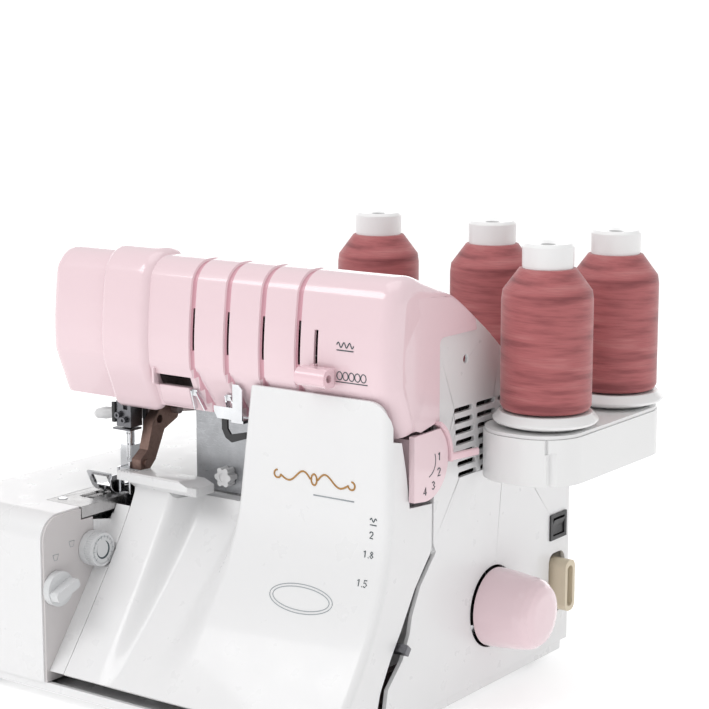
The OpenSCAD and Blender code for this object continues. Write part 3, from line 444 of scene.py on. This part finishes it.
def arm_cover():
    xs = ramp(CAP + 0.4, SLOTS[0] - 4, 4)
    for centre in SLOTS:
        xs += ramp(centre - 3, centre + 3, 0.5)
        xs += ramp(centre + 4, centre + 25.5, 1.5)
    xs = sorted(set(round(x, 3) for x in xs if x < SIDE - 12)) + ramp(119, 119.5, 1) + rounded(SIDE, 12, 1,
                9)
    rows = arm_sheet(xs, FRONT_PATH, round_right=12, grooves=True)
    verts, faces = grid(rows)
    keep = []
    for face in faces:
        x = sum(verts[i][0] for i in face) / 4
        z = sum(verts[i][2] for i in face) / 4
        y = sum(verts[i][1] for i in face) / 4
        slit = y < -80 and 240 < z < 268 and min(abs(x - c) for c in SLOTS) < 0.8
        window = y < -70 and -66 < x < -35 and 213.5 < z < 218.8
        mode = y < -80 and abs(x - 72.7) < 1.2 and 236 < z < 264
        if not (slit or window or mode):
            keep.append(face)
    end = rows[-1]
    base = len(verts)
    verts += [(SIDE, 5, 258.4), (SIDE, -34, 258.4), (SIDE, -36.2, 257.8), (SIDE, -37.8, 256.4),
              (SIDE, -38.4, 254),
              (SIDE, -38.4, 205), (SIDE, -60, 201)]
    first = len(rows) * len(end) - len(end)
    keep.append(tuple(list(range(first, first + len(end))) + list(range(base, len(verts))))[::-1])
    obj = mesh("arm_cover_visual", verts, keep, PINK, slot="pink_cover", flip=True)
    # The second material paints shade into the grooves: faces deeper than 0.9 mm take the darker pink.
    obj.data.materials.append(GROOVE_SHADE)
    for polygon in obj.data.polygons:
        x, y, z = polygon.center / MM
        if y < -50 and x < 70 and groove_depth(x, z, y) > 0.9:
            polygon.material_index = 1
    shell(obj, 2.2, 0.5)
    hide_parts("arm_cover")
    # lip below the window and the fin at its left
    prism("window_lip", [(-84.8, 214.2), (-81.7, 203), (-78.4, 199), (-76, 200.5), (-78, 214.2)], 0, -63,
          -36, PINK,
          bevel=1.2, slot="pink_cover")
    prism("window_fin", [(-83, 213), (-88.6, 215), (-89, 225), (-86, 227.5)], 0, -65.6, -63.6, PINK,
          bevel=0.6, slot="pink_cover")


def end_cover():
    path = FRONT_PATH + REAR_PATH[1:] + [(71, 203), (68, 198)]
    xs = [LEFT + 9 * (1 - math.sin(math.pi / 2 * i / 8)) for i in range(8, 0, -1)] + ramp(LEFT + 9.5, CAP,
          4)
    rows = arm_sheet(xs, path, round_left=9, fade_back=(200, 201))
    verts, faces = grid(rows)
    faces.append(tuple(range(len(path))))
    obj = mesh("end_cover_visual", verts, faces, PINK, slot="pink_cover", flip=True)
    shell(obj, 2.6, 0.5)
    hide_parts("end_cover")


def take_up_cover():
    path = [p for p in FRONT_PATH if p[0] < -52]
    path = [(-72, 197), (-75, 197)] + path[:-1] + [path[-1]]
    xs = [CAP + 0.4, CAP + 1.4, CAP + 2.6] + ramp(CAP + 4, -76, 4) + rounded(-66.4, 9, 1, 10)
    rows = arm_sheet(xs, path, round_right=9, raise_by=3.9)
    lifted = []
    for x, row in zip(xs, rows):
        drop = 2.0 * (1 - smooth((x - CAP) / 2.4))
        lifted.append([(x, y + drop * 0.8, z) for _, y, z in row])
    obj = mesh("take_up_cover_visual", *grid(lifted), PINK, slot="pink_cover", flip=True)
    shell(obj, 2.2, 0.6)
    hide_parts("take_up_cover")


# ---- the white front cover ----
PANEL_X = 8.0
SIDE_EDGE = [(20, -106), (40, -100), (60, -88), (75, -77), (99, -61.5), (119, -43.5), (122, -42.4),
             (151, -42.4),
             (153, -68), (158, -68.5), (177, -72), (197, -77), (199, -87.9), (224, -87.9)]


def tall_y(z):
    return -90.5 - 64 * (max(0.0, 150 - z) / 130) ** 2


def valley_y(x, z):
    t = max(0.0, min(1.0, (135 - z) / 115))
    return mix(mix(-78, -54, smooth((x + 62) / 14)), -154.5, t ** 1.15)


def bank_x(z):
    return 22 - 0.13 * (224 - z)


def front_y(x, z):
    bank = smooth((x - bank_x(z) + 22) / 24)
    turn = 6 * (1 - math.sqrt(max(0.0, 1 - (max(0.0, x - 125) / 6.3) ** 2)))
    return turn + mix(valley_y(x, z), tall_y(z), bank)


def top_z(x):
    if x < PANEL_X:
        return mix(137.5, 133, smooth((x + 62) / 4))
    if x < 19:
        return 137 + 80 * (x - PANEL_X) / 11
    if x < 24:
        return 217 + 7 * math.sqrt(1 - ((24 - x) / 5) ** 2)
    if x < 115:
        return 224
    return 224 - 16 * (1 - math.sqrt(max(0.0, 1 - ((x - 115) / 16) ** 2)))


def front_cover():
    xs = ramp(-92.3, -66, 3) + ramp(-64, -48, 1.6) + ramp(-46, 6, 2) + [7.8, 8.0] + ramp(9, 24, 1) \
        + ramp(28, 112, 4) + ramp(114, 124, 1.4) + ramp(125, 130.4, 0.7) + [131.0]
    levels = ramp(22, 128, 2.4) + ramp(130, 150, 2) + [151, 153] + ramp(155, 196, 2.4) + [197, 199] \
        + ramp(201, 224, 1.6)
    rows = []
    for x in xs:
        top = top_z(x)
        row = [(x, front_y(x, min(z, top)), min(z, top)) for z in levels]
        back = -43 if x < PANEL_X else None
        for f in (0.12, 0.5, 1.0):
            row.append((x, mix(row[len(levels) - 1][1], back, f), top) if back else row[len(levels) - 1])
        rows.append(row)
    last = rows[-1]
    for f in (0.1, 0.3, 0.6, 1.0):
        rows.append([(131.0, mix(y, max(y, lookup(z, SIDE_EDGE)), f), z) for _, y, z in last])
    obj = mesh("front_cover_visual", *grid(rows), WHITE, body="cover", slot="white_cover", flip=True)
    shell(obj, 2.4, 0.7)
    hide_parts("front_cover")
    marks("cloth_guide_mark", [[(-101.1 + 3 * i, -82.4), (-101.1 + 3 * i, -75)] for i in range(4)],
          lambda x, y: (x, y, 147.66), 0.4, PALE_INK, "cover")
    for i, x in enumerate((-60, 20, 90)):
        prism(f"hinge_knuckle_{i}", [(-142, 25.5), (-132, 25.5), (-132, 31), (-142, 31)], 0, x, x + 12,
              WHITE, "cover",
              1.0, "white_cover")


arm_cover()
end_cover()
take_up_cover()
front_cover()

# ---- printed marks: generic symbols and numerals ----
PLATE_FACE = 135.95                 # outer face of the letter plate


def panel_place(x, z):
    return x, front_y(x, z) - 0.02, z


def arm_place(x, z):
    return x, lookup(z, [(pz, py) for py, pz in FRONT_PATH if pz < 275]) - 0.02, z


def plate_place(y, z):
    return PLATE_FACE, y, z


def loop(cx, cz, rx, rz, turns=1.0, n=40, start=0.0):
    angles = [start + 2 * math.pi * turns * k / n for k in range(n + 1)]
    return [(cx + rx * math.cos(a), cz + rz * math.sin(a)) for a in angles]


def wave(x0, x1, z, height, cycles, n=40):
    return [(mix(x0, x1, k / n), z + height * math.sin(2 * math.pi * cycles * k / n)) for k in range(n + 1)]


def printed():
    scale = []
    for text, x, z in (("2", 116.4, 136.6), ("1.8", 112.6, 124.2), ("1.5", 110.8, 106.2)):
        scale += numeral(text, x, z, 4.2)
    gather = [wave(116.4, 121.4, 148.4, 1.1, 1.5), [(116.4, 145.2), (121.4, 145.2)]]
    marks("ratio_scale", scale + gather, panel_place, 0.75, INK, "cover")

    middle, height = 72.5, 168
    steps = [k / 40 for k in range(41)]
    swirl = [[(middle + side * (3 + 24 * t), height + 5 * math.sin(6.2 * t) * (1 - 0.55 * t)) for t in steps]
             for side in (-1, 1)]
    curls = [loop(middle + side * 29.5, height, 2.6, 2.6, 0.75 * side, 30, math.pi / 2 * (1 + side))
             for side in (-1, 1)]
    marks("panel_flourish", swirl + curls + [loop(middle, height, 2.2, 3.6)], panel_place, 1.3, GOLD,
          "cover")
    marks("panel_rule", [[(72, 158), (88, 158), (104, 158)]], panel_place, 0.9, PALE_INK, "cover")
    ovals = [loop(71, 92, 25, 8.5, n=72), loop(71, 92, 22.5, 6.8, n=72)]
    marks("panel_oval", ovals, panel_place, 0.6, PALE_INK, "cover")

    marks("mode_icon", [wave(89, 102, 257, 1.6, 3), [(89, 253.6), (102, 253.6)]], arm_place, 0.8, INK)
    loops = [loop(91.5 + 4.6 * k, 237.4, 2.0, 2.6) for k in range(5)]
    marks("loop_icon", loops + [[(88.6, 233.4), (101, 233.4), (113, 233.4)]], arm_place, 0.7, INK)

    for text, y, z in (("1", -43.4, 180.2), ("2", -43.6, 170.2), ("3", -49.8, 162.4), ("4", -59.6, 160.2)):
        marks(f"letter_plate_{text}", numeral(text, y, z, 5.0), plate_place, 0.8, INK)
    marks("letter_plate_arc", [arc(-56, 181, 10, -75, 25, 24)], plate_place, 0.6, INK)


UPPER_DIAL = (-110, 99)             # centre of the upper dial, y and z
CRESCENT_R = 6.4


def dial_marks():
    """Crescent and graduations on the upper dial, and outlines of the two pointers."""
    cy, cz = UPPER_DIAL
    outer = arc(cy, cz, CRESCENT_R, 70, -215, 40)
    inner = []
    for k in range(1, 40):
        t = k / 40
        r = CRESCENT_R - 2.4 * math.sin(math.pi * min(1.0, t * 1.02)) ** 0.7 * (1 - 0.75 * t)
        a = math.radians(70 - 285 * t)
        inner.append((cy + r * math.cos(a), cz + r * math.sin(a)))
    prism("upper_dial_crescent", outer + inner[::-1], 0, -94.0, -93.55, INK, "width_knob", 0)
    ticks = []
    for k in range(15):
        a = math.radians(-60 + 20 * k)
        r0, r1 = (8.4, 10.2) if k % 2 else (7.6, 10.2)
        ticks.append([(cy + r * math.cos(a), cz + r * math.sin(a)) for r in (r0, r1)])
    marks("upper_dial_ticks", ticks, lambda y, z: (-93.6, y, z), 0.35, PALE_INK, "width_knob")
    for name, y, z in (("upper", -128.3, 105.6), ("lower", -144, 99.5)):
        outline = [(y - 2.6, z + 1.8), (y + 2.6, z + 1.8), (y + 1.4, z - 2.2), (y - 1.4, z - 2.2),
                   (y - 2.6, z + 1.8)]
        marks(f"pointer_{name}", [outline], lambda u, v: (-105.5, u, v), 0.45, PALE_INK)


def needle_area():
    """Dark holder beside the needle clamp and the stop that hangs behind it."""
    prism("needle_holder_left", [(-69, 178), (-59, 178), (-59, 191), (-69, 192.5)], 0, -121.2, -118.2,
          BLACK,
          "needle_drive", 0.5, "dark_steel")
    prism("needle_stop", [(-51.5, 172), (-49.5, 170), (-48.5, 172), (-48.5, 197.5), (-51.5, 197.5)], 0,
          -108, -105, BLACK,
          "machine", 0.4, "black_plastic")


printed()
dial_marks()
needle_area()

# ---- every other CAD node keeps its own mesh, with rounded edges ----
WIDTH = {"rear_housing": 0.8, "bed_cover": 0.8, "base_pan": 0.8, "spool_tray": 1.0, "tray_lid": 0.9,
         "spool_discs": 0.5, "letter_plate": 0.5, "inlet_block": 0.9, "handwheel": 0.6, "lifter_lever": 0.3,
         "stitch_lever": 0.45, "mode_slide": 0.5, "needles": 0, "screws": 0.15, "needle_screws": 0.15,
         "thread_guides": 0.2, "switch_frame": 0.3, "power_rocker": 0.4, "threading_knob": 0.4,
         "cast_frame": 0.8, "presser_foot": 0.3, "needle_clamp": 0.35, "width_dial": 0.12,
         "length_dial": 0.5, "cloth_guide": 0.7, "needle_bar": 0.3, "presser_bar": 0.4}
BY_NODE = {"needle_plate": PLATE, "knife_arm": BRONZE}
slots = {s["node"]: s["material_slot"] for s in frame["record"]["subparts"]}
for node, obj in frame["nodes"].items():
    obj.data.materials.clear()
    obj.data.materials.append(BY_NODE.get(node) or BY_SLOT[slots[node]])
    if not obj.hide_render:
        soften(obj, WIDTH.get(node, 0.25))

# ---- stage ----
floor_mat = Graph("floor", (0.93, 0.93, 0.93), 0.6, Emission_Color=(1, 1, 1, 1), Emission_Strength=0.32)
floor_mat.roughen(floor_mat.noise(5, 3), 0.55, 0.7)
data = bpy.data.meshes.new("floor")
data.from_pydata([(-300, -300, 0), (300, -300, 0), (300, 300, 0), (-300, 300, 0)], [], [(0, 1, 2, 3)])
floor = bpy.data.objects.new("floor", data)
bpy.context.scene.collection.objects.link(floor)
data.materials.append(floor_mat.mat)
wall_mat = Graph("wall", (0.93, 0.93, 0.93), 0.8, Emission_Color=(1, 1, 1, 1), Emission_Strength=1.0)
wall_mat.roughen(wall_mat.noise(5, 3), 0.75, 0.85)
data = bpy.data.meshes.new("wall")
data.from_pydata([(-280, 60, -1), (120, 280, -1), (120, 280, 60), (-280, 60, 60)], [], [(0, 1, 2, 3)])
wall = bpy.data.objects.new("wall", data)
bpy.context.scene.collection.objects.link(wall)
data.materials.append(wall_mat.mat)


def area(name, at, look, size, power, colour=(1, 1, 1)):
    lamp = bpy.data.lights.new(name, "AREA")
    lamp.shape, lamp.size, lamp.size_y = "RECTANGLE", *size
    lamp.energy, lamp.color = power, colour
    obj = bpy.data.objects.new(name, lamp)
    obj.location = at
    obj.rotation_mode = "QUATERNION"
    obj.rotation_quaternion = (Vector(look) - Vector(at)).to_track_quat("-Z", "Y")
    bpy.context.scene.collection.objects.link(obj)


area("key", (-0.9, -1.5, 1.7), (0, 0, 0.15), (1.2, 0.9), 12.5)
area("top", (0.1, 0.1, 1.9), (0, 0, 0.1), (1.5, 1.5), 6.5)
area("side", (1.7, -0.2, 0.9), (0.1, 0, 0.15), (0.8, 1.2), 0.4)
world = bpy.data.worlds.new("studio")
bpy.context.scene.world = world
world.use_nodes = True
world.node_tree.nodes["Background"].inputs["Color"].default_value = (1, 1, 1, 1)
world.node_tree.nodes["Background"].inputs["Strength"].default_value = 0.7
bpy.context.scene.view_settings.view_transform = "Standard"

camera_data = bpy.data.cameras.new("camera")
camera_data.lens, camera_data.sensor_width = 100.8, 36
camera_data.clip_end = 1000
camera = bpy.data.objects.new("camera", camera_data)
camera.location = (0.8135, -1.0775, 0.469)
camera.rotation_euler = (math.radians(79.9), 0, math.radians(35.7))
bpy.context.scene.collection.objects.link(camera)
bpy.context.scene.camera = camera
